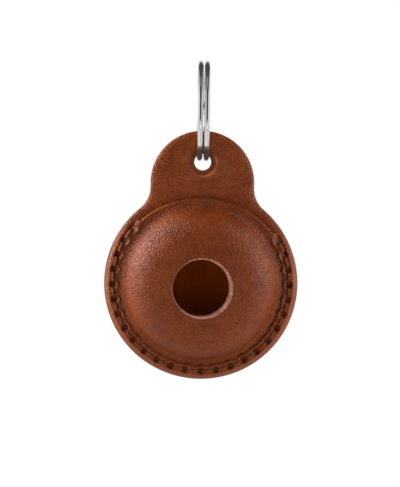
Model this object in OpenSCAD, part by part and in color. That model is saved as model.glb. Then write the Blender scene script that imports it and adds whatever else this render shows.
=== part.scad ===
// Leather holder for a round tracker tag, on a split ring.
// The frame's origin is the centre of the split ring, +Z is up and the domed front faces -Y.
// Both leather panels are drawn flat, seen from the front, and then stood upright:
// flat x is right, flat y is up, flat z comes towards the viewer,
// and the flat origin is the centre of the hole in the tab, halfway through the back leather.

/* [Tag] */
// Diameter of the tag that the pocket is moulded round
tag_d = 31.9; // [25:0.1:45]
// Thickness of that tag
tag_h = 8; // [6.5:0.1:12]
// Room between the tag's rim and the moulded wall
tag_side_play = 0.95; // [0.2:0.05:2]
// Room between the tag's face and the inside of the dome
tag_face_play = 0.2; // [0:0.05:1]

/* [Leather] */
// Thickness of the back leather
back_t = 2.0; // [1.8:0.1:3]
// Thickness of the moulded front leather
front_t = 1.6; // [1.3:0.1:2.2]
// Radius of the polished edge of the back leather where nothing covers it
edge_r = 0.85; // [0.3:0.05:0.85]
// Radius of the edge of the back leather where the front leather lies on it
seam_r = 0.15; // [0.05:0.05:0.3]
// Radius of the polished front edge of the flange
flange_edge_r = 0.8; // [0.2:0.05:1]

/* [Dome] */
// Radius of the slightly crowned face of the dome
crown_r = 60; // [40:1:200]
// Radius of the dome's round shoulder, outside
shoulder_r = 6.5; // [5:0.1:7]
// Radius of the hollow where the dome meets the flange, outside
foot_r = 0.8; // [0.4:0.1:1.2]
// Diameter of the finger hole in the face of the dome
finger_hole_d = 13.5; // [8:0.1:17]
// Radius of the polished rim of the finger hole
finger_rim_r = 0.5; // [0.1:0.05:0.8]

/* [Flange and lip] */
// Width of the stitched flange, from the foot of the dome to the rim
flange_w = 3.9; // [3.5:0.1:8]
// Width of the loose lip at the mouth, from the foot of the dome to its edge
lip_w = 1.2; // [0.6:0.1:2]
// Radius of the polished edge of the lip
lip_edge_r = 0.5; // [0.1:0.05:0.8]

/* [Tab] */
// Width of the tab
tab_w = 24.8; // [20:0.2:32]
// Height of the centre of the tab's round end above the rim of the body
tab_shank = 1.0; // [0.5:0.1:8]
// Radius of the hollow where the tab flares into the body
neck_r = 6.8; // [4:0.1:10]
// Distance from the top of the tab to the centre of its hole
hole_inset = 7.5; // [6:0.1:9]
// How much wider the hole is than the pair of ring coils in it
hole_play = 1.15; // [0.4:0.05:1.6]
// Width of the pressed mark round the hole
mark_w = 1.25; // [0.6:0.05:2]
// Depth of the pressed mark round the hole
mark_depth = 0.35; // [0.1:0.05:0.6]

/* [Stitching] */
// Diameter of the thread
thread_d = 0.8; // [0.5:0.05:0.9]
// Distance from one stitch hole to the next, along the seam
stitch_pitch = 3.68; // [3.4:0.01:6]
// Distance from the rim of the body to the middle of the seam
seam_inset = 2.1; // [1.7:0.05:2.2]
// Angle from straight up to the first stitch hole on the left
seam_start_left = 50.9; // [48:0.1:70]
// Angle from straight up to the last stitch hole on the right
seam_start_right = 59.8; // [48:0.1:70]
// Depth of the channel that the thread lies in
channel_depth = 0.3; // [0.1:0.05:0.4]
// Width of that channel
channel_w = 1.6; // [1:0.05:1.8]
// Leather left between the outermost stitch holes and the ends of the flange
end_margin = 1.0; // [0.6:0.1:2]

/* [Split ring] */
// Outer diameter of the split ring
ring_d = 24; // [20:0.5:40]
// Diameter of the ring's wire
wire_d = 1.3; // [0.8:0.05:1.8]
// Gap between the ring's two coils
coil_gap = 0.25; // [0.1:0.05:0.4]
// Angle that the wire takes to step from one coil to the other
step_angle = 40; // [30:1:70]
// Gap between the wire of the ring and the leather that hangs on it
ring_play = 0.1; // [0.05:0.01:0.15]

/* [Hidden] */
$fn = 96;

// Overrun of a cut past the surface that it opens
overrun = 0.5;
// Clearance between the thread and the leather round it
thread_play = 0.05;
// Clearance between the two threads where they lock in the middle of the leather
lock_play = 0.04;
// Gap between the two legs of a thread inside one stitch hole
leg_gap = 0.3;
// Room that the thread's bend leaves inside it, over the edge of the hole
bend_room = 0.15;
// How much wider than the hole the pit round it is, on each side
pit_flare = 0.12;
// Turn of the thread from one drawn cross-section to the next in a bend
bend_step = 60;
// Sides of the thread's cross-section
thread_sides = 8;
// Sides of the wire's cross-section
wire_sides = 14;
// Cross-sections along the wire
wire_rings = 112;
// Angle round the ring that each free end of the wire stays back from the step
end_gap_angle = 3;
// Angle round the ring that the bevel on each free end takes
end_bevel_angle = 1.2;
// Radius of the bevelled tip, as a share of the wire's
end_bevel_share = 0.7;
// Place of the step round the ring, from the bottom: behind the leather
step_middle = 90;
// Segments of the drawn arcs
rim_segments = 4;
crown_segments = 5;
shoulder_segments = 9;
foot_segments = 4;
edge_segments = 3;
neck_segments = 6;
tab_segments = 22;
body_segments = 44;

leather_colour = [0.43, 0.22, 0.12];
lining_colour = [0.38, 0.19, 0.11];
thread_colour = [0.47, 0.25, 0.15];
steel_colour = [0.78, 0.78, 0.80];

// Points on an arc round centre, from one angle to another
function arc(centre, r, from, to, segments) = [
    for (i = [0:segments])
        let (a = from + (to - from) * i / segments)
            centre + r * [cos(a), sin(a)]
];

// Dome, in its own half-section: x is the radius, y the height over the back leather
wall_r = tag_d / 2 + tag_side_play + front_t;
dome_h = tag_h + tag_face_play + front_t;
crown_c = [0, dome_h - crown_r];
shoulder_x = wall_r - shoulder_r;
shoulder_c = [shoulder_x, crown_c.y + sqrt(pow(crown_r - shoulder_r, 2) - pow(shoulder_x, 2))];
foot_y = front_t + foot_r;
foot_drop = foot_y - shoulder_c.y;
foot_c = [shoulder_x + sqrt(pow(shoulder_r + foot_r, 2) - pow(foot_drop, 2)), foot_y];
crown_end = atan2(shoulder_c.y - crown_c.y, shoulder_c.x);
shoulder_end = atan2(foot_drop, foot_c.x - shoulder_c.x);
finger_r = finger_hole_d / 2;
rim_x = finger_r + finger_rim_r;
rim_c = [rim_x, crown_c.y + sqrt(pow(crown_r - finger_rim_r, 2) - pow(rim_x, 2))];
rim_end = atan2(rim_c.y - crown_c.y, rim_x);
inner_rim_y = crown_c.y + sqrt(pow(crown_r - front_t, 2) - pow(finger_r, 2));
inner_start = atan2(inner_rim_y - crown_c.y, finger_r);

// Body and seam
foot_end_r = foot_c.x;
body_r = foot_end_r + flange_w;
lip_r = foot_end_r + lip_w;
seam_line_r = body_r - seam_inset;
channel_r = (pow(channel_w / 2, 2) + pow(channel_depth, 2)) / (2 * channel_depth);
channel_half = asin(channel_w / 2 / channel_r);
flange_round = min(flange_edge_r, front_t - thread_play);

// Tab and its hole, which the ring's two coils pass through
tab_r = tab_w / 2;
coil_x = (wire_d + coil_gap) / 2;
hole_r = coil_x + wire_d / 2 + hole_play / 2;
ring_mid_r = (ring_d - wire_d) / 2;
wire_at_face = sqrt(pow(ring_mid_r, 2) - pow(back_t / 2, 2));
hole_z = -wire_at_face - sqrt(pow(hole_r - ring_play - wire_d / 2, 2) - pow(coil_x, 2));
tab_c = [0, hole_inset - tab_r];
body_c = tab_c - [0, tab_shank + body_r];
neck_c = [tab_r + neck_r, sqrt(pow(body_r + neck_r, 2) - pow(tab_r + neck_r, 2))];
neck_end = atan2(neck_c.y, neck_c.x);

// Stitches: the thread runs from hole to hole and dips in a U into each hole
thread_r = thread_d / 2;
leg_x = (thread_d + leg_gap) / 2;
bend_r = thread_r + bend_room;
slot_half = leg_x + thread_r + thread_play;
slot_w = thread_d + 2 * thread_play;
pit_half = leg_x + bend_r + thread_play;
pit_w = slot_w + 2 * pit_flare;
pit_depth = bend_room + thread_play;
seam_arc = 360 - seam_start_left - seam_start_right;
stitches = round(seam_arc * PI / 180 * seam_line_r / stitch_pitch);
first_hole = 90 + seam_start_left;
hole_step = seam_arc / stitches;
end_angle = (slot_half + end_margin) / seam_line_r * 180 / PI;
mouth_from = 90 - seam_start_right + end_angle;
mouth_to = first_hole - end_angle;
channel_floor = back_t / 2 + front_t - channel_depth;
lock_z = (channel_floor - back_t / 2) / 2;
thread_top = channel_floor - lock_z + thread_play + thread_r;
thread_low = thread_r + lock_play / 2;

// Closed solid through a list of rings with the same number of points
module loft(rings) {
    n = len(rings[0]);
    last = len(rings) - 1;
    sides = [
        for (k = [0:last - 1], i = [0:n - 1])
            let (j = (i + 1) % n, a = k * n + i, b = k * n + j)
                each [[a, a + n, b], [b, a + n, b + n]]
    ];
    caps = [[for (i = [0:n - 1]) i], [for (i = [n - 1:-1:0]) last * n + i]];
    polyhedron(points = [for (ring = rings) each ring], faces = concat(sides, caps), convexity = 10);
}

// Stands a flat piece upright, with the hole of the tab over the ring's lower end
module upright() {
    translate([0, 0, hole_z])
        rotate([90, 0, 0])
            children();
}

// Back leather: the outline is a list of [centre, radius, angle, bulge, covered],
// where bulge is 1 on a round outside and -1 in the hollow of the neck
function outline_stretch(centre, r, from, to, bulge, segments) = [
    for (i = [0:segments])
        let (a = from + (to - from) * i / segments)
            [centre, r, a, bulge, centre == body_c && a < mouth_from && a > mouth_to - 360]
];

function back_outline() = concat(
    outline_stretch(body_c, body_r, neck_end, -180 - neck_end, 1, body_segments),
    outline_stretch(body_c + [-neck_c.x, neck_c.y], neck_r, -neck_end, 0, -1, neck_segments),
    outline_stretch(tab_c, tab_r, 180, 0, 1, tab_segments),
    outline_stretch(body_c + neck_c, neck_r, 180, 180 + neck_end, -1, neck_segments)
);

// One ring of the back leather's surface: side is -1 on the back edge and 1 on the front edge
function back_ring(side, turn) = [
    for (p = back_outline())
        let (
            round_r = side > 0 && p[4] ? seam_r : edge_r,
            inset = round_r * (1 - cos(turn)),
            at = p[0] + (p[1] - p[3] * inset) * [cos(p[2]), sin(p[2])]
        )
            [at.x, at.y, side * (back_t / 2 - round_r * (1 - sin(turn)))]
];

module capsule(half, width) {
    for (side = [-1, 1])
        translate([0, side * (half - width / 2)])
            circle(d = width);
    square([width, 2 * half - width], center = true);
}

// Places its child at every stitch hole, with y along the seam
module at_stitch_holes() {
    for (i = [0:stitches])
        translate(body_c)
            rotate([0, 0, first_hole + i * hole_step])
                translate([seam_line_r, 0, 0])
                    children();
}

module stitch_cuts(height) {
    at_stitch_holes()
        linear_extrude(height, center = true)
            capsule(slot_half, slot_w);
}

module stitch_pits(height) {
    at_stitch_holes()
        linear_extrude(height)
            capsule(pit_half, pit_w);
}

module back_panel() {
    turns = [for (i = [0:edge_segments]) 90 * i / edge_segments];
    rings = concat(
        [for (i = [edge_segments:-1:0]) back_ring(-1, turns[i])],
        [for (i = [0:edge_segments]) back_ring(1, turns[i])]
    );
    color(lining_colour)
        upright()
            difference() {
                loft(rings);
                cylinder(h = back_t + 2 * overrun, r = hole_r, center = true);
                translate([0, 0, back_t / 2 - mark_depth])
                    cylinder(h = mark_depth + overrun, r1 = hole_r + mark_w - mark_depth,
                        r2 = hole_r + mark_w + overrun);
                stitch_cuts(back_t + 2 * overrun);
                translate([0, 0, -back_t / 2 - overrun])
                    stitch_pits(pit_depth + overrun);
            }
}

// Front leather: half-section of the moulded dome with its flange
function front_section() = concat(
    arc(rim_c, finger_rim_r, 180, rim_end, rim_segments),
    arc(crown_c, crown_r, rim_end, crown_end, crown_segments),
    arc(shoulder_c, shoulder_r, crown_end, shoulder_end, shoulder_segments),
    arc(foot_c, foot_r, 180 + shoulder_end, 270, foot_segments),
    arc([seam_line_r, front_t - channel_depth + channel_r], channel_r,
        270 - channel_half, 270 + channel_half, foot_segments),
    arc([body_r - flange_round, front_t - flange_round], flange_round, 90, 0, rim_segments),
    [[body_r, 0]],
    arc(foot_c, foot_r + front_t, 270, 180 + shoulder_end, foot_segments),
    arc(shoulder_c, shoulder_r - front_t, shoulder_end, crown_end, shoulder_segments),
    arc(crown_c, crown_r - front_t, crown_end, inner_start, crown_segments)
);

// What is cut away above the mouth, down to the polished edge of the lip
function mouth_section() = concat(
    [[lip_r, -overrun]],
    arc([lip_r - lip_edge_r, front_t - lip_edge_r], lip_edge_r, 0, 90, rim_segments),
    [
        [lip_r - lip_edge_r, front_t + overrun],
        [body_r + overrun, front_t + overrun],
        [body_r + overrun, -overrun]
    ]
);

module front_panel() {
    color(leather_colour)
        upright()
            difference() {
                translate([body_c.x, body_c.y, back_t / 2])
                    difference() {
                        rotate_extrude()
                            polygon(front_section());
                        rotate_extrude(start = mouth_from, angle = mouth_to - mouth_from)
                            polygon(mouth_section());
                    }
                stitch_cuts(2 * (back_t + front_t));
                translate([0, 0, channel_floor - pit_depth])
                    stitch_pits(pit_depth + channel_depth + overrun);
            }
}

// Half of a dip, from the run on the leather down to the lock:
// [place along the seam from the middle of the hole, height over the lock, slope]
dive = [
    [-leg_x - bend_r, thread_top, 0],
    [-leg_x - bend_r * (1 - sin(bend_step)), thread_top - bend_r * (1 - cos(bend_step)), -bend_step],
    [-leg_x, thread_low + leg_x, -90],
    [-leg_x * cos(bend_step), thread_low + leg_x * (1 - sin(bend_step)), bend_step - 90]
];
rise = [for (i = [len(dive) - 1:-1:0]) [-dive[i][0], dive[i][1], -dive[i][2]]];

// Cross-section of the thread at one place of one stitch hole
function thread_ring(hole, station) =
    let (
        a = first_hole + hole * hole_step + station[0] / seam_line_r * 180 / PI,
        out = [cos(a), sin(a), 0],
        along = [-sin(a), cos(a), 0],
        over = -sin(station[2]) * along + [0, 0, cos(station[2])]
    )
    [
        for (i = [0:thread_sides - 1])
            let (t = 360 * i / thread_sides)
                [body_c.x, body_c.y, station[1]] + seam_line_r * out
                    + thread_r * (cos(t) * out + sin(t) * over)
    ];

// One thread along the whole seam, lying on the leather and dipping into each hole
module seam_thread() {
    loft([
        for (hole = [0:stitches])
            each [
                for (station = concat(hole > 0 ? dive : [], hole < stitches ? rise : []))
                    thread_ring(hole, station)
            ]
    ]);
}

module needle_thread() {
    color(thread_colour)
        upright()
            translate([0, 0, lock_z])
                seam_thread();
}

module bobbin_thread() {
    color(thread_colour)
        upright()
            translate([0, 0, lock_z])
                mirror([0, 0, 1])
                    seam_thread();
}

// Split ring, wound round the local z axis as one wire: a coil, the step and the other coil
coil_angle = 360 - step_angle - end_gap_angle;
wire_from = step_middle + step_angle / 2 + end_gap_angle;
wire_angle = 2 * coil_angle + step_angle;

function wire_ring(a, radius_share) =
    let (
        share = min(max((a - wire_from - coil_angle) / step_angle, 0), 1),
        eased = share * share * (3 - 2 * share),
        out = [cos(a), sin(a), 0],
        middle = ring_mid_r * out + [0, 0, coil_x * (2 * eased - 1)]
    )
    [
        for (k = [0:wire_sides - 1])
            let (t = 360 * k / wire_sides)
                middle + radius_share * wire_d / 2 * (cos(t) * out + [0, 0, sin(t)])
    ];

module split_ring() {
    color(steel_colour)
        rotate([0, 90, 0])
            loft([
                wire_ring(wire_from - end_bevel_angle, end_bevel_share),
                for (i = [0:wire_rings]) wire_ring(wire_from + wire_angle * i / wire_rings, 1),
                wire_ring(wire_from + wire_angle + end_bevel_angle, end_bevel_share)
            ]);
}

back_panel();
front_panel();
needle_thread();
bobbin_thread();
split_ring();
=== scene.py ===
# %% [markdown]
# # A leather holder for a round tracker tag
#
# The real thing is made of two pieces of chestnut leather, one seam and one split ring.
# A maker cuts the back with its tab, moulds the front wet over a form, stitches the two
# together with a waxed thread, polishes the edges and hangs the holder on the ring.
#
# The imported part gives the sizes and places. This lesson keeps that part as a fixed frame
# and puts finer pieces over its solids: leather with puckered stitch holes, a twisted
# thread and a round, mirror-bright wire. Only the dome's section differs from the plain
# solid's. Its shoulder is softer and the hollow at its foot is wider, so that the highlight
# falls where the photograph has it.

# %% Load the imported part
from math import atan2, cos, degrees, hypot, pi, radians, sin, sqrt

import bmesh
import bpy
import numpy as np
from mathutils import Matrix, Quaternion, Vector, noise


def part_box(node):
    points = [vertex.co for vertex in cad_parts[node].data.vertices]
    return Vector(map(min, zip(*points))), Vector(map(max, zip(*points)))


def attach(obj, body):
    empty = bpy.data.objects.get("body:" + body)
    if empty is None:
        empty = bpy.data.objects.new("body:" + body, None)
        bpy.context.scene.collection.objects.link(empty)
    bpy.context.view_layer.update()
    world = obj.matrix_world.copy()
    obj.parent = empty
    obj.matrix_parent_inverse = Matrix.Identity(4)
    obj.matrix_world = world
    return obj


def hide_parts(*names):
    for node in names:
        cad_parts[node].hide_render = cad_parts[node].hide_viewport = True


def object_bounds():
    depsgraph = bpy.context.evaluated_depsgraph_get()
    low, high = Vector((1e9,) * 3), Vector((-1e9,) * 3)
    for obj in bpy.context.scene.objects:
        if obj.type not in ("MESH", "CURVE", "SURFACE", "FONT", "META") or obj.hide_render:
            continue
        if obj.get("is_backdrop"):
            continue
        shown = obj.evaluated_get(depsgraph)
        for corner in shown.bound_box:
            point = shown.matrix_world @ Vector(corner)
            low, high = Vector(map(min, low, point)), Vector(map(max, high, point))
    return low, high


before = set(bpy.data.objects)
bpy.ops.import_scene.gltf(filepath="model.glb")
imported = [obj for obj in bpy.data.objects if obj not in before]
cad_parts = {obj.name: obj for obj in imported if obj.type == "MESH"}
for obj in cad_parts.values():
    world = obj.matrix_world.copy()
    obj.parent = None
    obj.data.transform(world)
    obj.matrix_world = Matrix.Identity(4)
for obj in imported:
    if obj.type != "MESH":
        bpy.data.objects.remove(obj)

cad_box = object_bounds()
mm = 0.001
print("box of the part, mm:", [[round(c / mm, 2) for c in corner] for corner in cad_box])

# %% [markdown]
# ## The sizes
#
# Everything is written in millimetres, as on a maker's bench, and turned to metres where a
# piece is made. The origin is the middle of the ring, z points up and the dome faces -y.
# The back leather is 2 mm thick and lies from y = -1 to y = 1. The section of the dome is
# three arcs that run into each other: crown, shoulder and foot. Each centre and each place
# where two arcs meet follows from the radii, so one changed radius moves them all.

# %% The sizes of the part
leather_back, leather_front = 2.0, 1.6
tag_d, tag_h = 31.9, 8
room_at_rim, room_above = 0.75, 0.2
wall_r = tag_d / 2 + room_at_rim + leather_front
dome_h = tag_h + room_above + leather_front
crown_r, shoulder_r, foot_r = 60.0, 8.3, 2.0
finger_r, finger_rim = 6.75, 0.65
ring_r, wire_r, coil_x, wire_play = 11.35, 0.65, 0.775, 0.1
tab_r, neck_r, hole_r = 12.4, 6.8, 2.0
hole_below_top, body_below_tab = 7.5, 1.0

crown = (0.0, dome_h - crown_r)
shoulder_x = wall_r - shoulder_r
shoulder = (shoulder_x, crown[1] + sqrt((crown_r - shoulder_r) ** 2 - shoulder_x ** 2))
foot_h = leather_front + foot_r
foot = (shoulder_x + sqrt((shoulder_r + foot_r) ** 2 - (foot_h - shoulder[1]) ** 2), foot_h)
crown_end = degrees(atan2(shoulder[1] - crown[1], shoulder[0]))
shoulder_end = degrees(atan2(foot[1] - shoulder[1], foot[0] - shoulder[0]))
rim_x = finger_r + finger_rim
rim = (rim_x, crown[1] + sqrt((crown_r - finger_rim) ** 2 - rim_x ** 2))
rim_end = degrees(atan2(rim[1] - crown[1], rim_x))

foot_end = foot[0]
body_r, lip_r, seam_inset = 23.185, 20.485, 2.1
seam_r = body_r - seam_inset
wire_low = sqrt(ring_r ** 2 - (leather_back / 2) ** 2)
hole_z = -wire_low - sqrt((hole_r - wire_play - wire_r) ** 2 - coil_x ** 2)
tab_z = hole_z + hole_below_top - tab_r
body_z = tab_z - body_below_tab - body_r
neck = (tab_r + neck_r, sqrt((body_r + neck_r) ** 2 - (tab_r + neck_r) ** 2))
neck_end = degrees(atan2(neck[1], neck[0]))

first_hole, seam_arc, stitches, mouth_middle = 140.9, 249.3, 25, 30.5
hole_step = seam_arc / stitches
pitch = radians(hole_step) * seam_r
print(f"body {2 * body_r:.2f} mm across, its middle at z = {body_z:.2f}, hole at z = {hole_z:.2f}")
print(f"{stitches + 1} stitch holes, {pitch:.2f} mm apart")

# %% [markdown]
# ## Working by hand
#
# A few habits keep the modelling tidy. Nothing stays selected from the step before, and
# faces or edges are picked by their place. A section is drawn as with ruler and compass: a
# single point is extruded along straight lines and spun round the middle of each arc.

# %% Helpers for drawing
def clear():
    """Back to object mode, with nothing selected."""
    if bpy.context.object and bpy.context.object.mode != "OBJECT":
        bpy.ops.object.mode_set(mode="OBJECT")
    bpy.ops.object.select_all(action="DESELECT")


def start_point(name, at):
    """A new mesh with one selected point, in edit mode. The point is given in mm."""
    clear()
    bpy.ops.mesh.primitive_plane_add(size=mm, location=(0, 0, 0))
    piece = bpy.context.object
    piece.name = piece.data.name = name
    bpy.ops.object.mode_set(mode="EDIT")
    bpy.ops.mesh.select_mode(type="VERT")
    bpy.ops.mesh.select_all(action="SELECT")
    bpy.ops.mesh.merge(type="CENTER")
    bpy.ops.transform.translate(value=[c * mm for c in at])
    return piece


def line_by(move, steps=1):
    """Extrudes the selected point by a move in mm, in equal steps."""
    for _ in range(steps):
        bpy.ops.mesh.extrude_region_move(
            TRANSFORM_OT_translate={"value": [c * mm / steps for c in move]})


def arc_about(centre, turn, steps, axis):
    """Spins what is selected round a centre in mm, by a turn in degrees."""
    bpy.ops.mesh.spin(steps=steps, angle=radians(turn), center=[c * mm for c in centre], axis=axis)

# %% Helpers for picking and closing
def pick(kind, test):
    """In edit mode, selects the verts, edges or faces whose middle, in mm, passes the test."""
    bpy.ops.mesh.select_mode(type={"verts": "VERT", "edges": "EDGE", "faces": "FACE"}[kind])
    bpy.ops.mesh.select_all(action="DESELECT")
    mesh = bmesh.from_edit_mesh(bpy.context.object.data)
    found = 0
    for part in getattr(mesh, kind):
        if kind == "verts":
            middle = part.co
        elif kind == "edges":
            middle = (part.verts[0].co + part.verts[1].co) / 2
        else:
            middle = part.calc_center_median()
        if test(middle / mm, part):
            part.select_set(True)
            found += 1
    bmesh.update_edit_mesh(bpy.context.object.data)
    return found


def tidy():
    """Merges doubles, turns every face outwards and leaves edit mode."""
    bpy.ops.mesh.select_all(action="SELECT")
    bpy.ops.mesh.remove_doubles(threshold=0.002 * mm)
    bpy.ops.mesh.normals_make_consistent(inside=False)
    bpy.ops.object.mode_set(mode="OBJECT")

# %% Helpers for moving points and measuring
def points_of(piece):
    """The vertices of a piece in mm, as a table."""
    table = np.empty(len(piece.data.vertices) * 3)
    piece.data.vertices.foreach_get("co", table)
    return table.reshape(-1, 3) / mm


def move_points(piece, table):
    """Puts the vertices of a piece at the places of a table in mm."""
    piece.data.vertices.foreach_set("co", (table * mm).ravel())
    piece.data.update()


def ease(low, high, value):
    """0 below low, 1 above high, and a smooth slope between."""
    share = np.clip((value - low) / (high - low), 0, 1)
    return share * share * (3 - 2 * share)


def report(piece):
    """Prints how many triangles a piece has and where it lies."""
    lo, hi = points_of(piece).min(0), points_of(piece).max(0)
    faces = sum(len(face.vertices) - 2 for face in piece.data.polygons)
    print(f"{piece.name}: {faces} triangles, from {lo.round(2)} to {hi.round(2)} mm")


# %% [markdown]
# ## Where a point is on the seam
#
# The seam runs round the body on a circle. For any point, three numbers say where it is:
# how far it is round the seam, counted in stitches, how far along the leather it is from
# the nearest stitch hole, and how far outside the seam line it is. The count starts at the
# left end of the seam, runs down and round to the right end, and goes over from behind the
# last hole to before the first in the middle of the mouth. Every pucker of the leather is
# a function of these numbers. No two stitches are pulled quite alike, so each hole has
# its own depth, its own small shift and its own ridge, drawn once from a fixed seed.
#
# The edge of the back leather is described here too, because both pieces need it: a
# quarter of an ellipse, 0.85 mm high, and nearly sharp where the flange covers it.

# %% Seam coordinates
edge_r, front_edge, rear_edge, covered_edge = 0.85, 2.1, 1.2, 0.12
pit_long, pit_wide, groove_wide = 0.86, 0.76, 0.60
rng = np.random.default_rng(7)
hole_depth = rng.uniform(0.88, 1.12, stitches + 1)
hole_shift = rng.uniform(-0.09, 0.09, stitches + 1)
ridge_swell = rng.uniform(0.7, 1.35, stitches + 1)


def seam_place(table):
    """Radius, stitches round the seam, nearest hole, mm along from it, mm across the seam."""
    radius = np.hypot(table[:, 0], table[:, 2] - body_z)
    turn = (np.degrees(np.arctan2(table[:, 2] - body_z, table[:, 0])) - first_hole) % 360
    count = turn / hole_step
    count = np.where(count > mouth_middle, count - 360 / hole_step, count)
    nearest = np.clip(np.rint(count), 0, stitches).astype(int)
    along = (count - nearest) * pitch + hole_shift[nearest]
    return radius, count, nearest, along, radius - seam_r


def swell(distance, middle, width):
    """A soft round bump: 1 at its middle, and next to nothing two widths away."""
    return np.exp(-(((distance - middle) / width) ** 2))


def seam_hollow(table, pit, channel):
    """How deep, in mm, the stitches draw the leather in, and the shade of each hollow."""
    _, count, nearest, along, across = seam_place(table)
    in_seam = ease(-0.5, -0.2, count) * (1 - ease(stitches + 0.2, stitches + 0.5, count))
    hole = np.exp(-(((along / pit_long) ** 2 + (across / pit_wide) ** 2) ** 2))
    groove = swell(across, 0, groove_wide) * in_seam
    depth = np.maximum(pit * hole * hole_depth[nearest], channel * groove)
    return depth, hole


def full_flange(count):
    """1 where the flange has its full thickness, 0 where it is pared away at its two ends."""
    return ease(-0.7, 2.6, count) * (1 - ease(stitches - 2.6, stitches + 0.7, count))


def edge_left(covered):
    """The share of the back's rolled edge that is left where the flange covers it."""
    return 1 - covered * (1 - covered_edge / edge_r)


def rim_drop(inwards, covered):
    """How far the back's rolled edge lies below its face, at a distance in from the rim."""
    shrink = edge_left(covered)
    share = np.clip(1 - inwards / (front_edge * shrink), 0, 1)
    return edge_r * shrink * (1 - np.sqrt(1 - share ** 2))


print("hollows drawn for", len(hole_depth), "stitch holes")

# %% [markdown]
# ## The back leather
#
# The back is one flat piece: a round body and a tab with two hollow necks between them. A
# cutting die does it in one stroke, so the outline comes first. It is drawn with the
# compass, filled, extruded to the leather's thickness, and its edges are rounded with a
# row of small insets, as a bone folder rounds them turn by turn. The front edge is rolled
# wider than the rear one, as in the photograph.
#
# Ten more narrow insets on the rear face give the stitches there points to sink. A last cut
# goes straight across the body, out of sight inside the pocket. The front face below it is
# dull and felt-like, as it looks through the finger hole, and the face above it has its
# grain, so they must be two faces.

# %% Draw the outline of the back leather
front_axis = (0, 1, 0)
body_at = (0, 0, body_z)
back = start_point("back_leather", (
    body_r * cos(radians(neck_end)), leather_back / 2 - edge_r,
    body_z + body_r * sin(radians(neck_end))))
arc_about(body_at, -180 - 2 * neck_end, 560, front_axis)
arc_about((-neck[0], 0, body_z + neck[1]), neck_end, 26, front_axis)
line_by((0, 0, tab_z - body_z - neck[1]), 3)
arc_about((0, 0, tab_z), -180, 140, front_axis)
line_by((0, 0, body_z + neck[1] - tab_z), 3)
arc_about((neck[0], 0, body_z + neck[1]), neck_end, 26, front_axis)
bpy.ops.mesh.select_all(action="SELECT")
bpy.ops.mesh.remove_doubles(threshold=0.01 * mm)
bpy.ops.mesh.select_all(action="SELECT")
bpy.ops.mesh.edge_face_add()
print("outline points:", len(bmesh.from_edit_mesh(back.data).verts))

# %% Give it thickness and round its edges
edge_steps, inside_top = 8, 12.5
front_band, rear_band, rear_bands = 0.3, 0.2, 10


def inset_by(inwards, outwards):
    """Insets the selected face and moves it along its normal, both in mm."""
    bpy.ops.mesh.inset(use_boundary=True, use_even_offset=True,
                       thickness=inwards * mm, depth=outwards * mm)


def round_the_rim(width):
    """Rolls the edge over in small turns, on a quarter of an ellipse."""
    for step in range(edge_steps):
        low, high = (radians(90 * k / edge_steps) for k in (step, step + 1))
        inset_by(width * (cos(low) - cos(high)), edge_r * (sin(high) - sin(low)))


bpy.ops.mesh.extrude_region_move(
    TRANSFORM_OT_translate={"value": (0, -(leather_back - 2 * edge_r) * mm, 0)})
bpy.ops.mesh.select_all(action="SELECT")
bpy.ops.mesh.normals_make_consistent(inside=False)
pick("faces", lambda at, face: len(face.verts) > 100 and at.y < 0)
round_the_rim(front_edge)
inset_by(front_band, 0)
pick("faces", lambda at, face: len(face.verts) > 100 and at.y > 0)
round_the_rim(rear_edge)
for _ in range(rear_bands):
    inset_by(rear_band, 0)
bpy.ops.mesh.select_all(action="SELECT")
bpy.ops.mesh.bisect(plane_co=(0, 0, (body_z + inside_top) * mm), plane_no=(0, 0, 1))
tidy()
report(back)

# %% [markdown]
# ## The hole in the tab
#
# The hole is punched, and a round tool pressed round it leaves a shallow ring in the damp
# leather. The punch is modelled as its own shape, a section spun round the hole's axis,
# and a Boolean modifier takes it out of the tab: hole, pressed ring and softened edges in
# one cut. Its section is a list of places (radius, y), from the ring's outer wall on the
# front face to the softened edge on the rear face.

# %% Cut the hole with its pressed ring
mark = [(3.76, -1.03), (3.66, -1.004), (3.56, -0.97), (3.44, -0.90), (3.32, -0.80), (3.20, -0.69),
        (3.09, -0.60), (2.98, -0.545), (2.85, -0.52), (2.68, -0.53), (2.52, -0.565), (2.36, -0.57),
        (2.22, -0.54), (2.11, -0.46), (2.03, -0.34), (2.00, -0.20), (2.00, 0.70), (2.03, 0.82),
        (2.10, 0.91), (2.20, 0.97), (2.32, 1.00), (2.45, 1.03)]
past = 1.6
section = [(0.0, -past), (mark[0][0], -past), *mark, (mark[-1][0], past), (0.0, past)]
punch = start_point("punch", (section[0][0], section[0][1], hole_z))
for here, there in zip(section, section[1:]):
    line_by((there[0] - here[0], there[1] - here[1], 0))
bpy.ops.mesh.select_all(action="SELECT")
arc_about((0, 0, hole_z), 360, 112, front_axis)
tidy()

cut = back.modifiers.new("punched hole", "BOOLEAN")
cut.operation, cut.solver, cut.object = "DIFFERENCE", "EXACT", punch
clear()
bpy.context.view_layer.objects.active = back
back.select_set(True)
bpy.ops.object.modifier_apply(modifier=cut.name)
bpy.data.objects.remove(punch)
report(back)

# %% [markdown]
# ## Pulling the stitches tight
#
# A tight stitch sinks into the leather on both faces. On the back the thread lies in a
# shallow groove and dips into each hole. Under the flange the front edge of the back
# leather isn't rounded, because the two edges are polished there as one, so the rounding
# is drawn back towards its corner wherever the seam runs.
#
# Two attributes change the leather's colour: painted shade, darker in the hollows, and wear,
# paler on raised places, with a painted highlight on the back. On the back these are the
# stitch holes and the wall of the pressed ring, painted palest at its lower right, the side that faces the
# light.

# %% Press the back's groove and close the edge under the flange
table = points_of(back)
radius, count = seam_place(table)[:2]
depth, hole = seam_hollow(table, pit=0.8, channel=0.2)
rear = table[:, 1] > leather_back / 2 - 0.01
table[rear, 1] -= depth[rear]

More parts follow.
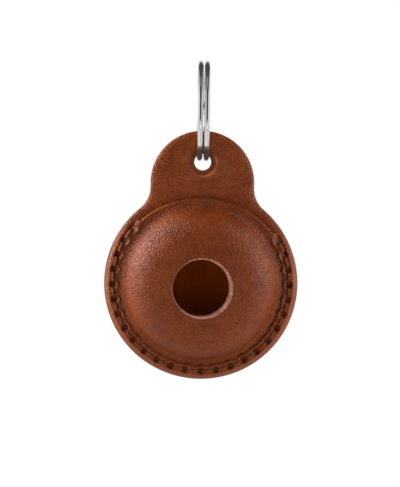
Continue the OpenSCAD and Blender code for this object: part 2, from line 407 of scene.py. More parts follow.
covered = full_flange(count)
near_rim = radius > body_r - front_edge - front_band - 0.01
in_front = table[:, 1] < -leather_back / 2 + edge_r + 0.01
corner = near_rim & in_front
shrink = edge_left(covered)
new_radius = body_r - (body_r - radius) * shrink
stretch = np.where(corner, new_radius / np.maximum(radius, 1e-6), 1)
table[:, 0] *= stretch
table[:, 2] = body_z + (table[:, 2] - body_z) * stretch
table[:, 1] = np.where(
    corner, -leather_back / 2 + (table[:, 1] + leather_back / 2) * shrink, table[:, 1])
move_points(back, table)
print("deepest rear hollow, mm:", round(float(depth[rear].max()), 2))

# %% Paint shade into the back's stitch holes, and wear and a highlight on its pressed ring
# Painted shade: the back's rear stitch holes are painted darker.
shade_layer = back.data.attributes.new("hollow", "FLOAT", "POINT")
shade_layer.data.foreach_set("value", np.where(rear, np.clip(hole * 1.1, 0, 1), 0))
mark_wall_r, mark_wall_w = 3.36, 0.22
from_hole = np.hypot(table[:, 0], table[:, 2] - hole_z)
# Painted highlight over even wear: the ring's wall is painted paler towards its lower right, the side that
# faces the light.
side_facing_light = np.clip(0.75 * table[:, 0] - 0.66 * (table[:, 2] - hole_z), 0, None)
ring_wear_and_highlight = 0.35 + 3.4 * side_facing_light / np.maximum(from_hole, 1)
ring_wear_and_highlight = ring_wear_and_highlight * swell(from_hole, mark_wall_r, mark_wall_w)
wear_and_highlight_layer = back.data.attributes.new("wear_and_highlight", "FLOAT", "POINT")
wear_and_highlight_layer.data.foreach_set("value", np.where(table[:, 1] < -0.5, ring_wear_and_highlight, 0))
print("points with painted shade:", int((hole[rear] > 0.5).sum()))

# %% [markdown]
# ## The moulded front
#
# The front is a shell of even thickness: a nearly flat crown, a round shoulder, a small
# hollow at the foot, and a flange that lies on the back. Anything this round is drawn as
# one closed section and spun round its axis. 720 steps give points 0.18 mm apart at the
# seam, fine enough for a pucker round every hole. A long spin is slow, so a quarter is spun
# and copied: once beside itself, and then both together to the other side.

# %% Draw the section of the front leather
section_axis = (0, 0, 1)


def on_section(place):
    """A place (radius, height over the back leather) in the section, as x, y, z."""
    return (place[0], -leather_back / 2 - place[1], body_z)


flange_r, blunt = 0.95, 0.06
inner_start = degrees(atan2(sqrt((crown_r - leather_front) ** 2 - finger_r ** 2), finger_r))
wall_low = crown[1] + (crown_r - leather_front) * sin(radians(inner_start))
front = start_point("front_leather", on_section((finger_r, wall_low + 0.1)))
line_by((0, -(rim[1] - wall_low - 0.1), 0), 5)
arc_about(on_section(rim), rim_end - 180, 9, section_axis)
arc_about(on_section(crown), crown_end - rim_end, 12, section_axis)
arc_about(on_section(shoulder), shoulder_end - crown_end, 26, section_axis)
arc_about(on_section(foot), 90 - shoulder_end, 8, section_axis)
line_by((body_r - flange_r - foot_end, 0, 0), 21)
arc_about(on_section((body_r - flange_r, leather_front - flange_r)), -90, 8, section_axis)
line_by((0, leather_front - flange_r - blunt, 0), 2)
line_by((-blunt, blunt, 0))
line_by((foot_end - body_r + blunt, 0, 0), 5)
arc_about(on_section(foot), shoulder_end - 90, 6, section_axis)
arc_about(on_section(shoulder), crown_end - shoulder_end, 12, section_axis)
arc_about(on_section(crown), inner_start - crown_end, 6, section_axis)
bpy.ops.mesh.select_all(action="SELECT")
print("points in the section:", len(bmesh.from_edit_mesh(front.data).verts))
bpy.ops.mesh.edge_face_add()
bpy.ops.mesh.delete(type="ONLY_FACE")

# %% Spin a quarter and copy it round
bpy.ops.mesh.select_all(action="SELECT")
arc_about(body_at, 90, 180, front_axis)
for turn in (90, 180):
    bpy.ops.mesh.select_all(action="SELECT")
    bpy.ops.mesh.duplicate()
    bpy.ops.transform.rotate(value=radians(turn), orient_axis="Y", center_override=(0, 0, body_z * mm))
tidy()
report(front)

# %% [markdown]
# ## Mouth, flange ends and puckers
#
# At the mouth the flange is cut back to a narrow lip, so that the tag can be pushed in.
# Its two ends are pared thin and drape over the back's edge where they run out. Everywhere
# else the thread draws the leather down into a groove with a pit at each hole, and pushes
# up a small ridge that bends round every pit on its inner side. The flange leans outwards
# and rolls off at the rim, and on the low side a crease marks the dome's foot. How far a
# point is from the mouth is counted in stitches from the seam's nearer end, and is negative
# in the mouth itself.
#
# The finger hole was cut at a slant: the outer rim of its wall sits to the right of the
# inner one, so the wall shows on that side. Low lumps all over keep the moulded face from
# looking turned. Such soft forms have no edge to bevel, so the points of the spun shell are
# moved here by formula.

# %% Cut back the lip and drape the flange ends
table = points_of(front)
radius, count, nearest, along, _ = seam_place(table)
height = -table[:, 1] - leather_back / 2
top = ease(0.35, 1.2, height)
from_mouth = np.minimum(count, stitches - count)

to_hole = lip_r + (seam_r - 0.1 - lip_r) * ease(-6, -0.6, from_mouth)
reach = to_hole + (body_r - to_hole) * ease(-0.7, -0.2, from_mouth)
share = (reach - foot_end) / (body_r - foot_end)
new_radius = np.where(radius > foot_end, foot_end + (radius - foot_end) * share, radius)
across = new_radius - seam_r

covered = full_flange(count)
outside = ease(-0.1, 0.45, across)
pared = 0.97
height = height * (1 - outside * pared * (1 - covered))
height = height - rim_drop(body_r - new_radius, covered)
print("points where the flange is pared:", int((covered < 1).sum()))

# %% Pucker the flange
in_seam = ease(-1.1, -0.3, from_mouth)
on_flange = ease(foot_end - 1.0, foot_end - 0.4, new_radius) * top
depth, hole = seam_hollow(table, pit=0.80, channel=0.14)
near = swell(along, 0, 1.0)
ridge_at = -(0.62 + 0.60 * near)
ridge = 0.30 * (0.35 + 0.85 * near * ridge_swell[nearest]) * swell(across, ridge_at, 0.20)
outer_ridge = 0.06 * (0.5 + near) * swell(across, 0.95, 0.32)
height = height + ((ridge + outer_ridge) * in_seam - depth) * on_flange
print("highest ridge, mm:", round(float((ridge * in_seam * on_flange).max()), 2))

# %% Lean, roll and crease it
down_right = 0.35 * table[:, 0] - 0.94 * (table[:, 2] - body_z)
low_side = np.clip(0.45 + 0.65 * down_right / radius, 0, 1)
crease = 0.28 * low_side * swell(across, -1.74, 0.24)
lean = 0.30 * (1 - low_side) * ease(-2.6, -0.5, across)
roll = (0.60 + 0.16 * (1 - low_side)) * ease(0.1, 2.35, across)
height = height - (crease + (lean + roll) * covered) * in_seam * on_flange
print("deepest crease, mm:", round(float((crease * in_seam * on_flange).max()), 2))

# %% Slant the finger hole and add the lumps
rim_shift, wall_shift, shift_end = (0.38, -0.05), (-0.15, 0.05), 10.5
off_centre = ease(finger_r, rim_x, radius) * (1 - ease(rim_x + 0.2, shift_end, radius)) * (height > 5)
punched = ease(finger_r + 0.4, finger_r + 0.1, radius) * ease(rim[1] - 0.1, rim[1] - 0.9, height)
table[:, 0] += rim_shift[0] * off_centre + wall_shift[0] * punched
table[:, 2] += rim_shift[1] * off_centre + wall_shift[1] * punched

lump_h, wide, narrow = 0.035, 5.5, 2.2
lumps = np.array([noise.noise(Vector(point) / wide) + 0.5 * noise.noise(Vector(point) / narrow)
                  for point in table])
height = height + np.where(top > 0.9, lump_h * lumps, 0)

grow = new_radius / radius
table[:, 0] *= grow
table[:, 2] = body_z + (table[:, 2] - body_z) * grow
table[:, 1] = -leather_back / 2 - height
move_points(front, table)
report(front)

# %% Paint shade into the front's holes and crease, and note where it is worn
# Painted shade: the front's stitch holes and the crease on its low side are painted darker.
shade_layer = front.data.attributes.new("hollow", "FLOAT", "POINT")
crease_shade = low_side * swell(across, -1.45, 0.42)
shade_layer.data.foreach_set("value", np.clip(hole * 1.2 + crease_shade, 0, 1) * on_flange * in_seam)
wear_and_highlight_layer = front.data.attributes.new("wear_and_highlight", "FLOAT", "POINT")
edge_wear = ease(0.5, 1.1, across) * (1 - ease(1.8, 2.05, across)) * covered
ridge_wear = np.clip(5 * ridge * in_seam, 0, 1)
wear_and_highlight_layer.data.foreach_set("value", (ridge_wear + 0.9 * edge_wear) * on_flange)
print("points with painted shade:", int((hole * on_flange * in_seam > 0.5).sum()))

# %% [markdown]
# ## The thread
#
# A saddler's thread is three waxed strands twisted together. One length runs along the
# front, dips into each hole and locks round its partner in the middle of the leather. The
# route of the thread is worked out first, as half a stitch that is mirrored and repeated:
# places (distance along the seam, height over the middle of the back leather). Each strand
# then winds round that route, as a curve with a round bevel, and the three are joined to
# one mesh. The strands overlap a little, as if squeezed, so no gap shows between them.

# %% The route of one stitch
lock_h, route_step = 0.65, 0.13
half_stitch = [(0.00, 1.06), (0.28, 1.07), (0.50, 1.13), (0.68, 1.28), (0.77, 1.52), (0.82, 1.78),
               (0.89, 2.04), (1.02, 2.27), (1.20, 2.42), (1.45, 2.50), (pitch / 2, 2.53)]


def stitch_route(start):
    """Points (distance along the seam, height) of one stitch that starts at a hole."""
    there = [(start + along, high) for along, high in half_stitch]
    back_again = [(start + pitch - along, high) for along, high in reversed(half_stitch[:-1])]
    return there + back_again[:-1]


def even_route(points, step):
    """The same route with points at even distances, and how far along it each one is."""
    points = np.array(points)
    length = np.concatenate([[0], np.cumsum(np.hypot(*np.diff(points, axis=0).T))])
    at = np.linspace(0, length[-1], int(length[-1] / step) + 1)
    return np.column_stack([np.interp(at, length, points[:, k]) for k in (0, 1)]), at


flat_route = [point for k in range(stitches) for point in stitch_route(k * pitch)]
flat_route.append((stitches * pitch, half_stitch[0][1]))
route, run = even_route(flat_route, route_step)
print(f"{stitches * pitch:.1f} mm of seam take {run[-1]:.0f} mm of thread, in {len(route)} points")

# %% Twist three strands along it
strand_r, strand_out, lay = 0.20, 0.18, 2.3


def twisted_thread(name, mirrored):
    """Three strands round the route. The partner on the back is the mirror image."""
    turn = np.radians(first_hole) + route[:, 0] / seam_r
    out = np.column_stack([np.cos(turn), np.zeros(len(turn)), np.sin(turn)])
    high = 2 * lock_h - route[:, 1] if mirrored else route[:, 1]
    middle = seam_r * out + np.array([0, 0, body_z])
    middle[:, 1] = -high
    tangent = np.gradient(middle, axis=0)
    tangent /= np.linalg.norm(tangent, axis=1)[:, None]
    side = np.cross(tangent, out)
    strands = []
    for strand in range(3):
        twist = 2 * pi * (run / lay + strand / 3)
        path = middle + strand_out * (np.cos(twist)[:, None] * out + np.sin(twist)[:, None] * side)
        curve = bpy.data.curves.new(f"{name}_strand", "CURVE")
        curve.dimensions, curve.bevel_depth, curve.bevel_resolution = "3D", strand_r * mm, 2
        curve.use_fill_caps = True
        spline = curve.splines.new("POLY")
        spline.points.add(len(path) - 1)
        spline.points.foreach_set("co", np.column_stack([path * mm, np.ones(len(path))]).ravel())
        strand_object = bpy.data.objects.new(curve.name, curve)
        bpy.context.scene.collection.objects.link(strand_object)
        strands.append(strand_object)
    clear()
    for strand_object in strands:
        strand_object.select_set(True)
    bpy.context.view_layer.objects.active = strands[0]
    bpy.ops.object.convert(target="MESH")
    bpy.ops.object.join()
    thread = bpy.context.object
    thread.name = thread.data.name = name
    bpy.ops.object.shade_smooth()
    from_lock = np.abs(-points_of(thread)[:, 1] - lock_h)
    # Painted shade: the thread is painted darker near its lock, deep in the holes.
    shade_near_lock = thread.data.attributes.new("hollow", "FLOAT", "POINT")
    shade_near_lock.data.foreach_set("value", 1 - ease(1.30, 1.85, from_lock))
    report(thread)
    return thread


needle = twisted_thread("seam_thread_front", mirrored=False)
bobbin = twisted_thread("seam_thread_back", mirrored=True)

# %% [markdown]
# ## The split ring
#
# The ring is one hard wire wound to two coils, with a step where it crosses from one to
# the other behind the holder. A circle is spun round the ring's axis for each coil. On the
# step it is spun in small turns, with a sideways push after each that starts and ends
# gently.

# %% Wind the wire
from_angle, coil_angle, step_angle = 113.0, 317.0, 40.0
wire_sides, coil_turns, step_turns, end_bevel = 30, 240, 26, 0.12
ring_axis = (-1, 0, 0)
begin = radians(from_angle)
clear()
bpy.ops.mesh.primitive_circle_add(
    vertices=wire_sides, radius=wire_r * mm, fill_type="NGON",
    location=(-coil_x * mm, ring_r * mm * sin(begin), -ring_r * mm * cos(begin)),
    rotation=(begin - pi / 2, 0, 0))
wire = bpy.context.object
wire.name = wire.data.name = "split_ring_wire"
bpy.ops.object.transform_apply(location=True, rotation=True, scale=True)
bpy.ops.object.mode_set(mode="EDIT")
bpy.ops.mesh.select_all(action="SELECT")
arc_about((0, 0, 0), coil_angle, coil_turns, ring_axis)
for k in range(step_turns):
    share, after = k / step_turns, (k + 1) / step_turns
    push = 2 * coil_x * (ease(0, 1, after) - ease(0, 1, share))
    arc_about((0, 0, 0), step_angle / step_turns, 1, ring_axis)
    bpy.ops.transform.translate(value=(push * mm, 0, 0))
arc_about((0, 0, 0), coil_angle, coil_turns, ring_axis)
tidy()
report(wire)

# %% Soften its two cut ends
clear()
wire.select_set(True)
bpy.context.view_layer.objects.active = wire
bpy.ops.object.mode_set(mode="EDIT")
found = pick("faces", lambda at, face: len(face.verts) > 4)
bpy.ops.mesh.bevel(offset=end_bevel * mm, segments=3, affect="EDGES")
bpy.ops.object.mode_set(mode="OBJECT")
bpy.ops.object.shade_smooth_by_angle(angle=radians(40))
print("cut ends:", found)
report(wire)

# %% [markdown]
# ## Smooth shading
#
# The leather is smooth where it is moulded and flat where it lies flat. Weighted normals
# let the large flat faces decide the shading at their edges, so no streaks run into them.

# %% Shade the leather
for piece in (back, front):
    clear()
    piece.select_set(True)
    bpy.context.view_layer.objects.active = piece
    bpy.ops.object.shade_smooth_by_angle(angle=radians(50))
weighted = back.modifiers.new("flat faces stay flat", "WEIGHTED_NORMAL")
weighted.keep_sharp = True
clear()
back.select_set(True)
bpy.context.view_layer.objects.active = back
bpy.ops.object.modifier_apply(modifier=weighted.name)
print("shaded", back.name, "and", front.name)

# %% [markdown]
# ## The finishes
#
# The leather is a satin chestnut, a little uneven in the dye, with a fine pebbled grain
# that only shows where the light grazes it. The grain is a cell pattern a little under half
# a millimetre across, read in Object coordinates so that it has its true size on every
# piece. The back has the same finish in a lighter copy, which is painted light: it stands
# in for light that the back gets less of. Both are painted darker in their hollows, as
# painted shade, and paler where they are worn, with a painted highlight on the pressed
# ring. Inside, the leather is raw and dull. The cut wall of the finger hole is rough and
# fibrous, and the outer edge is dyed dark and polished.

# %% Helpers for materials
def new_material(name):
    """A material with one shader, and Object coordinates in mm for its textures."""
    material = bpy.data.materials.new(name)
    material.use_nodes = True
    tree = material.node_tree
    tree.nodes.clear()
    out = tree.nodes.new("ShaderNodeOutputMaterial")
    shader = tree.nodes.new("ShaderNodeBsdfPrincipled")
    tree.links.new(shader.outputs[0], out.inputs[0])
    place = tree.nodes.new("ShaderNodeTexCoord")
    scale = tree.nodes.new("ShaderNodeMapping")
    scale.inputs["Scale"].default_value = (1000, 1000, 1000)
    tree.links.new(place.outputs["Object"], scale.inputs["Vector"])
    return material, tree, shader, scale.outputs["Vector"]


def texture(tree, kind, vector, **values):
    """A texture node with its feature and inputs set."""
    node = tree.nodes.new(kind)
    tree.links.new(vector, node.inputs["Vector"])
    for name, value in values.items():
        if name == "feature":
            node.feature = value
        else:
            node.inputs[name].default_value = value
    return node

# %% Helpers for colours and sums
def ramp(tree, value, stops):
    """A colour ramp: stops are (place, colour)."""
    node = tree.nodes.new("ShaderNodeValToRGB")
    tree.links.new(value, node.inputs[0])
    elements = node.color_ramp.elements
    for k, (place, colour) in enumerate(stops):
        element = elements[k] if k < 2 else elements.new(place)
        element.position = place
        element.color = (*colour, 1)
    return node.outputs[0]


def mix(tree, factor, first, second, blend="MIX"):
    """Mixes two colours. Each may be a socket or a colour, and the factor a number."""
    node = tree.nodes.new("ShaderNodeMix")
    node.data_type, node.blend_type = "RGBA", blend
    for socket, value in ((node.inputs[0], factor), (node.inputs[6], first), (node.inputs[7], second)):
        if isinstance(value, bpy.types.NodeSocket):
            tree.links.new(value, socket)
        else:
            socket.default_value = (*value, 1) if isinstance(value, tuple) else value
    return node.outputs[2]


def sums(tree, kind, *values):
    """A sum of any kind. Each value may be a socket or a number."""
    node = tree.nodes.new("ShaderNodeMath")
    node.operation = kind
    for socket, value in zip(node.inputs, values):
        if isinstance(value, bpy.types.NodeSocket):
            tree.links.new(value, socket)
        else:
            socket.default_value = value
    return node.outputs[0]

# %% Helpers for marks and bumps
def painted(tree, name):
    """How strongly a piece carries painted shade in its hollows, or wear with a painted highlight, at a
    point.
    """
    node = tree.nodes.new("ShaderNodeAttribute")
    node.attribute_name = name
    return node.outputs["Fac"]


def bumps(tree, shader, layers):
    """Stacks bump layers: (height, depth in mm, strength)."""
    normal = None
    for height, depth_mm, strength in layers:
        node = tree.nodes.new("ShaderNodeBump")
        node.inputs["Distance"].default_value = depth_mm * mm
        node.inputs["Strength"].default_value = strength
        tree.links.new(height, node.inputs["Height"])
        if normal:
            tree.links.new(normal, node.inputs["Normal"])
        normal = node.outputs["Normal"]
    tree.links.new(normal, shader.inputs["Normal"])


# %% Grained chestnut leather
# A paler tone for wear and painted highlights, and a dark tone for painted shade in hollows.
wear_and_highlight_tone, painted_shade_in_hollows, satin = (0.34, 0.110, 0.045), (0.100, 0.0200, 0.0025), 0.33


def grained_leather(name, dark, light):
    """Uneven dye, pebbled grain with darker lines between the pebbles, wear with a painted highlight, and
    painted shade in hollows.
    """
    material, tree, shader, vector = new_material(name)
    dye = texture(tree, "ShaderNodeTexNoise", vector, Scale=0.16, Detail=4.0, Roughness=0.6)
    cloud = texture(tree, "ShaderNodeTexNoise", vector, Scale=0.9, Detail=3.0, Roughness=0.55)
    speck = texture(tree, "ShaderNodeTexNoise", vector, Scale=3.0, Detail=2.0, Roughness=0.6)
    warped = tree.nodes.new("ShaderNodeVectorMath")
    warped.operation = "MULTIPLY_ADD"
    tree.links.new(speck.outputs["Color"], warped.inputs[0])
    warped.inputs[1].default_value = (0.22, 0.22, 0.22)
    tree.links.new(vector, warped.inputs[2])
    cells = texture(tree, "ShaderNodeTexVoronoi", warped.outputs[0], feature="SMOOTH_F1",
                    Scale=2.3, Smoothness=0.25, Randomness=1.0)
    pebble = sums(tree, "SUBTRACT", 1.0, cells.outputs["Distance"])

    colour = ramp(tree, dye.outputs["Fac"], [(0.32, dark), (0.68, light)])
    shade = ramp(tree, cloud.outputs["Fac"], [(0.25, (0.88, 0.86, 0.84)), (0.75, (1.1, 1.08, 1.06))])
    colour = mix(tree, 1.0, colour, shade, "MULTIPLY")
    pore = ramp(tree, cells.outputs["Distance"], [(0.30, (1, 1, 1)), (0.62, (0.72, 0.68, 0.66))])
    colour = mix(tree, 0.8, colour, pore, "MULTIPLY")
    # Paler where worn and where the highlight is painted, darker where shade is painted in hollows.
    wear_and_highlight_share = sums(tree, "MULTIPLY", painted(tree, "wear_and_highlight"), 0.35)
    colour = mix(tree, wear_and_highlight_share, colour, wear_and_highlight_tone)
    colour = mix(tree, painted(tree, "hollow"), colour, painted_shade_in_hollows)
    tree.links.new(colour, shader.inputs["Base Color"])

    rough = ramp(tree, cloud.outputs["Fac"], [(0.3, (satin - 0.05,) * 3), (0.7, (satin + 0.06,) * 3)])
    tree.links.new(rough, shader.inputs["Roughness"])
    shader.inputs["Specular IOR Level"].default_value = 0.15
    bumps(tree, shader, [
        (cloud.outputs["Fac"], 0.10, 0.7),
        (pebble, 0.17, 1.0),
        (speck.outputs["Fac"], 0.06, 1.0)])
    return material


chestnut = grained_leather("chestnut leather", (0.140, 0.0270, 0.0042), (0.200, 0.0415, 0.0068))
# Painted light: a lighter copy of the same leather for the back, standing in for light the back gets less
# of.
back_chestnut_painted_lighter = grained_leather(
    "chestnut leather of the back", (0.158, 0.0305, 0.0046), (0.226, 0.0470, 0.0074))
print("made", chestnut.name, "and", back_chestnut_painted_lighter.name)

# %% Raw inside and cut edges
def raw_leather(name, dark, light, roughness, gloss, fibre, fineness=5.5):
    """Leather without its grain: felt-like, with fibres of a given depth in mm."""
    material, tree, shader, vector = new_material(name)
    felt = texture(tree, "ShaderNodeTexNoise", vector, Scale=fineness, Detail=5.0, Roughness=0.7)
    patch = texture(tree, "ShaderNodeTexNoise", vector, Scale=0.35, Detail=2.0)
    colour = ramp(tree, felt.outputs["Fac"], [(0.40, dark), (0.64, light)])
    shade = ramp(tree, patch.outputs["Fac"], [(0.3, (0.8, 0.78, 0.76)), (0.7, (1.1, 1.1, 1.1))])
    colour = mix(tree, 0.6, colour, shade, "MULTIPLY")
    tree.links.new(colour, shader.inputs["Base Color"])
    shader.inputs["Roughness"].default_value = roughness
    shader.inputs["Specular IOR Level"].default_value = gloss
    bumps(tree, shader, [(felt.outputs["Fac"], fibre, 0.9)])
    return material


lining = raw_leather("raw leather", (0.235, 0.0390, 0.0019), (0.340, 0.0620, 0.0040),
                     roughness=0.95, gloss=0.03, fibre=0.06)
cut_edge = raw_leather("cut edge", (0.11, 0.026, 0.008), (0.66, 0.300, 0.200),
                       roughness=0.38, gloss=0.5, fibre=0.34, fineness=3.0)
edge_paint = raw_leather("polished edge", (0.050, 0.0100, 0.0020), (0.085, 0.0170, 0.0035),
                         roughness=0.65, gloss=0.06, fibre=0.05)
print("made", ", ".join(each.name for each in (lining, cut_edge, edge_paint)))

# %% [markdown]
# ## Thread and wire
#
# The thread is waxed and dull, in the leather's own brown, and painted darker where it dips
# into its holes, as painted shade. The wire is plated steel, almost a mirror, with a faint
# haze on it. Its lowest part, which sits in the tab's hole, is painted darker and mirrors
# less: a painted dark reflection. The change starts 7.6 mm below the ring's middle and is
# complete at 8.9 mm.

# %% Waxed thread
waxed, tree, shader, vector = new_material("waxed thread")
fibre = texture(tree, "ShaderNodeTexNoise", vector, Scale=9.0, Detail=4.0, Roughness=0.7)
tone = texture(tree, "ShaderNodeTexNoise", vector, Scale=0.8, Detail=2.0)
shade_in_hole = (0.070, 0.0140, 0.0018)
colour = ramp(tree, fibre.outputs["Fac"],
              [(0.3, (0.100, 0.0200, 0.0035)), (0.72, (0.22, 0.055, 0.0120))])
shade = ramp(tree, tone.outputs["Fac"], [(0.3, (0.8, 0.78, 0.76)), (0.7, (1.12, 1.08, 1.05))])
colour = mix(tree, 0.7, colour, shade, "MULTIPLY")
# Painted shade: darker where the thread lies in its holes.
colour = mix(tree, painted(tree, "hollow"), colour, shade_in_hole)
tree.links.new(colour, shader.inputs["Base Color"])
shader.inputs["Roughness"].default_value = 0.55
shader.inputs["Specular IOR Level"].default_value = 0.16
bumps(tree, shader, [(fibre.outputs["Fac"], 0.06, 0.9)])

# %% Bright plated wire
steel, tree, shader, vector = new_material("bright plated wire")
haze = texture(tree, "ShaderNodeTexNoise", vector, Scale=1.4, Detail=4.0, Roughness=0.65)
scratch = texture(tree, "ShaderNodeTexNoise", vector, Scale=2.5, Detail=2.0, Roughness=0.6)
tone = ramp(tree, haze.outputs["Fac"], [(0.3, (0.74, 0.74, 0.75)), (0.7, (0.84, 0.84, 0.85))])
place = tree.nodes.new("ShaderNodeSeparateXYZ")
tree.links.new(vector, place.inputs[0])
# Painted dark reflection: from 7.6 mm below the ring's middle the wire is painted darker and less metallic.
dark_from, dark_full, painted_dark_tone, painted_dark_metal = -7.6, -8.9, (0.115, 0.125, 0.135), 0.4
dark_span = dark_full - dark_from
below = sums(tree, "MULTIPLY_ADD", place.outputs["Z"], 1 / dark_span, -dark_from / dark_span)
painted_dark_share = ramp(tree, below, [(0.0, (0, 0, 0)), (1.0, (1, 1, 1))])
tone = mix(tree, painted_dark_share, tone, painted_dark_tone)
tree.links.new(tone, shader.inputs["Base Color"])
metal = sums(tree, "MULTIPLY_ADD", painted_dark_share, painted_dark_metal - 1.0, 1.0)
tree.links.new(metal, shader.inputs["Metallic"])
gloss = ramp(tree, haze.outputs["Fac"], [(0.3, (0.035,) * 3), (0.7, (0.085,) * 3)])
tree.links.new(gloss, shader.inputs["Roughness"])
bumps(tree, shader, [(scratch.outputs["Fac"], 0.002, 0.4)])
print("made", waxed.name, "and", steel.name)

# %% [markdown]
# ## Dressing the pieces
#
# Each piece gets its finish. A leather piece has more than one: grain outside, raw leather
# inside, and its own finish on the cut edges. So its faces are sorted, each by where its
# middle is and the way it faces, and the sorting names the finish. The steep inner wall of
# the dome, for one, is told from the outer one because it faces the dome's axis.

# %% Give every face its finish
def dress(piece, finishes, sort=None):
    """Gives a piece its finishes by name, and each face the one that sort names."""
    piece.data.materials.clear()
    for material in finishes.values():
        piece.data.materials.append(material)
    if sort:
        order = list(finishes)
        for face in piece.data.polygons:
            face.material_index = order.index(sort(face.center / mm, face.normal))


def outer_height(r):
    """The height of the dome's outer face at a radius."""
    if r < crown_r * cos(radians(crown_end)):
        return crown[1] + sqrt(crown_r ** 2 - r ** 2)
    if r < wall_r - 0.05:
        return shoulder[1] + sqrt(shoulder_r ** 2 - (r - shoulder[0]) ** 2)
    return leather_front


def sort_front(at, normal):
    """The cut wall of the finger hole first, then the inside, the underside and the edge."""
    r = sqrt(at.x ** 2 + (at.z - body_z) ** 2)
    h = -at.y - leather_back / 2
    from_rim = hypot(at.x - rim_shift[0], at.z - body_z - rim_shift[1])
    if r < finger_r + 0.12 or h > 7 and from_rim < rim_x - 0.16:
        return "cut"
    if r < wall_r - 0.4 and h < outer_height(r) - leather_front / 2:
        return "raw"
    inside_limit = 6 if r < wall_r else 1.2
    faces_axis = normal.x * at.x + normal.z * (at.z - body_z) < 0
    if wall_r - 1.7 < r < foot_end + 0.05 and h < inside_limit and faces_axis:
        return "raw"
    if h < 0.03 and normal.y > 0.5:
        return "raw"
    if r > body_r - 0.3 and abs(normal.y) < 0.5:
        return "polished"
    return "grain"


def sort_back(at, normal):
    """The outer edge first, but not the wall of the hole, and then the pocket's floor."""
    r = sqrt(at.x ** 2 + (at.z - body_z) ** 2)
    if abs(normal.y) < 0.5 and hypot(at.x, at.z - hole_z) > 4:
        return "polished"
    if r < wall_r and at.z < body_z + inside_top and normal.y < -0.9:
        return "raw"
    return "grain"


dress(front, {"grain": chestnut, "raw": lining, "cut": cut_edge, "polished": edge_paint}, sort_front)
dress(back, {"grain": back_chestnut_painted_lighter, "raw": lining, "polished": edge_paint}, sort_back)
dress(needle, {"wax": waxed})
dress(bobbin, {"wax": waxed})
dress(wire, {"plating": steel})
for piece in (front, back):
    counts = np.bincount([face.material_index for face in piece.data.polygons])
    names = [material.name for material in piece.data.materials]
    print(piece.name, "faces per finish:", dict(zip(names, counts.tolist())))

# %% [markdown]
# ## Joining the frame
#
# The dressed pieces take the places of the plain solids. The ring stays still and the
# holder swings on it.

# %% Hang each piece on its body
for piece, node, body, slot in (
        (back, "back_panel", "holder", "back_leather"),
        (front, "front_panel", "holder", "front_leather"),
        (needle, "needle_thread", "holder", "thread"),
        (bobbin, "bobbin_thread", "holder", "thread"),
        (wire, "split_ring", "ring", "ring_steel")):
    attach(piece, body)
    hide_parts(node)
    lo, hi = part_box(node)
    far = max(np.abs(points_of(piece).min(0) - np.array(lo) / mm).max(),
              np.abs(points_of(piece).max(0) - np.array(hi) / mm).max())
    print(f"{piece.name} stays within {far:.2f} mm of the box of {node}")

# %% [markdown]
# ## Light and background
#
# The holder is photographed on white between pale walls. A window's worth of soft light
# comes in from the left, nearly side on and a little high, and less from the right. The
# pale table throws a little light up from both sides. In front it is dark, where the camera
# stands, and that draws the thin dark line down the middle of the bright wire.
#
# The world is that room. It is white to the camera. For light and reflections it has a pale
# wall at each side and behind, which end some way up and some way down, a faint ceiling and
# a pale table low in front. Matt surfaces get a little more light from all round, as in a
# small room whose walls light each other.
#
# The five lamps would show in the wire as hard bright patches, where the photograph has the
# even white of the walls. So they light everything but the wire. The floor is a sheet of
# paper well below the holder. It glows a little for the camera only, to look as pale as
# the room.

# %% The room
world = bpy.data.worlds.new("pale room")
bpy.context.scene.world = world
world.use_nodes = True
tree = world.node_tree
tree.nodes.clear()
out = tree.nodes.new("ShaderNodeOutputWorld")
seen = tree.nodes.new("ShaderNodeBackground")
seen.inputs["Color"].default_value = (1, 1, 1, 1)
lit = tree.nodes.new("ShaderNodeBackground")
path = tree.nodes.new("ShaderNodeLightPath")
choose = tree.nodes.new("ShaderNodeMixShader")
tree.links.new(path.outputs["Is Camera Ray"], choose.inputs[0])
tree.links.new(lit.outputs[0], choose.inputs[1])
tree.links.new(seen.outputs[0], choose.inputs[2])
tree.links.new(choose.outputs[0], out.inputs[0])
direction = tree.nodes.new("ShaderNodeTexCoord")
everywhere, extra_for_matt = 0.09, 0.20


def wall(facing, start, full, strength):
    """A pale wall: its light grows from none to full as a direction turns to the wall."""
    turn = tree.nodes.new("ShaderNodeVectorMath")
    turn.operation = "DOT_PRODUCT"
    tree.links.new(direction.outputs["Generated"], turn.inputs[0])
    turn.inputs[1].default_value = Vector(facing).normalized()
    fade = tree.nodes.new("ShaderNodeMapRange")
    fade.interpolation_type = "SMOOTHSTEP"
    tree.links.new(turn.outputs["Value"], fade.inputs["Value"])
    fade.inputs["From Min"].default_value, fade.inputs["From Max"].default_value = start, full
    fade.inputs["To Max"].default_value = strength
    return fade.outputs["Result"]


left_wall = wall((-1, 0, 0), 0.45, 0.75, 1.0)
right_wall = wall((1, 0, 0), 0.45, 0.75, 1.0)
back_wall = wall((0, 1, 0), 0.78, 0.96, 0.9)
low_front = wall((0, -0.66, -0.75), 0.80, 0.95, 1.3)
ceiling = wall((0, -0.30, 0.95), 0.93, 1.0, 0.4)
above_walls = wall((0, 0, 1), 0.52, 0.80, 1.0)
below_walls = wall((0, 0, -1), 0.40, 0.70, 1.0)
walls = sums(tree, "MAXIMUM", sums(tree, "MAXIMUM", left_wall, right_wall), back_wall)
walls = sums(tree, "SUBTRACT", walls, sums(tree, "ADD", above_walls, below_walls))
walls = sums(tree, "MAXIMUM", walls, 0.0)
room = sums(tree, "ADD", walls, sums(tree, "ADD", low_front, ceiling))
room = sums(tree, "ADD", room, everywhere)
for_matt = sums(tree, "MULTIPLY", path.outputs["Is Diffuse Ray"], extra_for_matt)
tree.links.new(sums(tree, "ADD", room, for_matt), lit.inputs["Strength"])
print("nodes in the room:", len(tree.nodes))

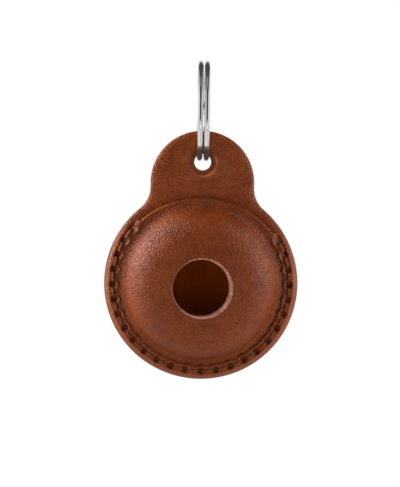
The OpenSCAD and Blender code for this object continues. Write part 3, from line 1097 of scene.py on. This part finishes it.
# %% The lamps
def lamp(name, azimuth, elevation, size, power, tall=1.0, distance=0.62):
    """A lamp that faces the body. Azimuth 0 is the front, 90 the right, in degrees."""
    light = bpy.data.lights.new(name, "AREA")
    light.shape, light.size, light.size_y, light.energy = "RECTANGLE", size, size * tall, power
    lamp_object = bpy.data.objects.new(name, light)
    about, up = radians(azimuth), radians(elevation)
    away = Vector((sin(about) * cos(up), -cos(about) * cos(up), sin(up)))
    lamp_object.location = Vector((0, 0, body_z * mm)) + away * distance
    lamp_object.rotation_euler = away.to_track_quat("Z", "Y").to_euler()
    bpy.context.scene.collection.objects.link(lamp_object)
    return lamp_object


lamps = (
    lamp("tall soft window on the left", -105, 25, 0.34, 7.4, tall=1.6),
    lamp("edge of the window light", -74, 34, 0.22, 2.2),
    lamp("weaker light on the right", 90, 20, 0.42, 3.5),
    lamp("light from the table, right", 60, -28, 0.24, 0.75, distance=0.36),
    lamp("light from the table, left", -56, -30, 0.24, 0.65, distance=0.36))
print("lamps:", ", ".join(each.name for each in lamps))

# %% The floor
clear()
bpy.ops.mesh.primitive_plane_add(size=0.6, location=(0, 0, -0.24))
floor = bpy.context.object
floor.name = "floor"
pale, tree, shader, vector = new_material("pale floor")
paper = texture(tree, "ShaderNodeTexNoise", vector, Scale=0.05, Detail=3.0)
tone = ramp(tree, paper.outputs["Fac"], [(0.3, (0.36,) * 3), (0.7, (0.40,) * 3)])
tree.links.new(tone, shader.inputs["Base Color"])
shader.inputs["Roughness"].default_value = 0.9
glow = tree.nodes.new("ShaderNodeEmission")
glow.inputs["Strength"].default_value = 0.6
path = tree.nodes.new("ShaderNodeLightPath")
tree.links.new(path.outputs["Is Camera Ray"], glow.inputs["Color"])
both = tree.nodes.new("ShaderNodeAddShader")
tree.links.new(shader.outputs[0], both.inputs[0])
tree.links.new(glow.outputs[0], both.inputs[1])
tree.links.new(both.outputs[0], tree.nodes["Material Output"].inputs[0])
floor.data.materials.append(pale)
floor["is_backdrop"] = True
print("floor at z =", round(floor.location.z, 3))

# %% Keep the lamps off the wire
lit_pieces = bpy.data.collections.new("lit by the lamps")
for piece in (front, back, needle, bobbin, floor):
    lit_pieces.objects.link(piece)
for each in lamps:
    each.light_linking.receiver_collection = lit_pieces

# %% [markdown]
# ## The camera
#
# The photograph was taken from straight in front and a little above, with the picture
# turned by about one degree. A long lens keeps the sides parallel.

# %% Place the camera
camera_data = bpy.data.cameras.new("camera")
camera = bpy.data.objects.new("camera", camera_data)
bpy.context.scene.collection.objects.link(camera)
azimuth, elevation, tilt, distance = radians(-0.5), radians(6.5), radians(0.9), 0.5
sensor_w, seen_w = 36, 0.1169
aim = Vector((-0.00034, 0, -0.03186))
towards = Vector((sin(azimuth) * cos(elevation), -cos(azimuth) * cos(elevation), sin(elevation)))
camera.location = aim + towards * distance
camera.rotation_mode = "QUATERNION"
camera.rotation_quaternion = Quaternion(towards, tilt) @ (-towards).to_track_quat("-Z", "Y")
camera_data.sensor_width = sensor_w
camera_data.lens = sensor_w * distance / seen_w
camera_data.clip_start, camera_data.clip_end = 0.05, 20
bpy.context.scene.camera = camera
bpy.context.scene.view_settings.view_transform = "Standard"
print("lens:", round(camera_data.lens, 1), "mm")

# %% [markdown]
# ## The boxes
#
# Last, the box of the imported part and the box of the dressed one are printed side by side.
# The finer pieces may not reach past the part that they stand for.

# %% Print the boxes and finish
boxes = {"cad": [list(corner) for corner in cad_box], "visual": [list(corner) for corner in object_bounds()]}
for name, box in boxes.items():
    print(name, "box, mm:", [[round(c / mm, 2) for c in corner] for corner in box])
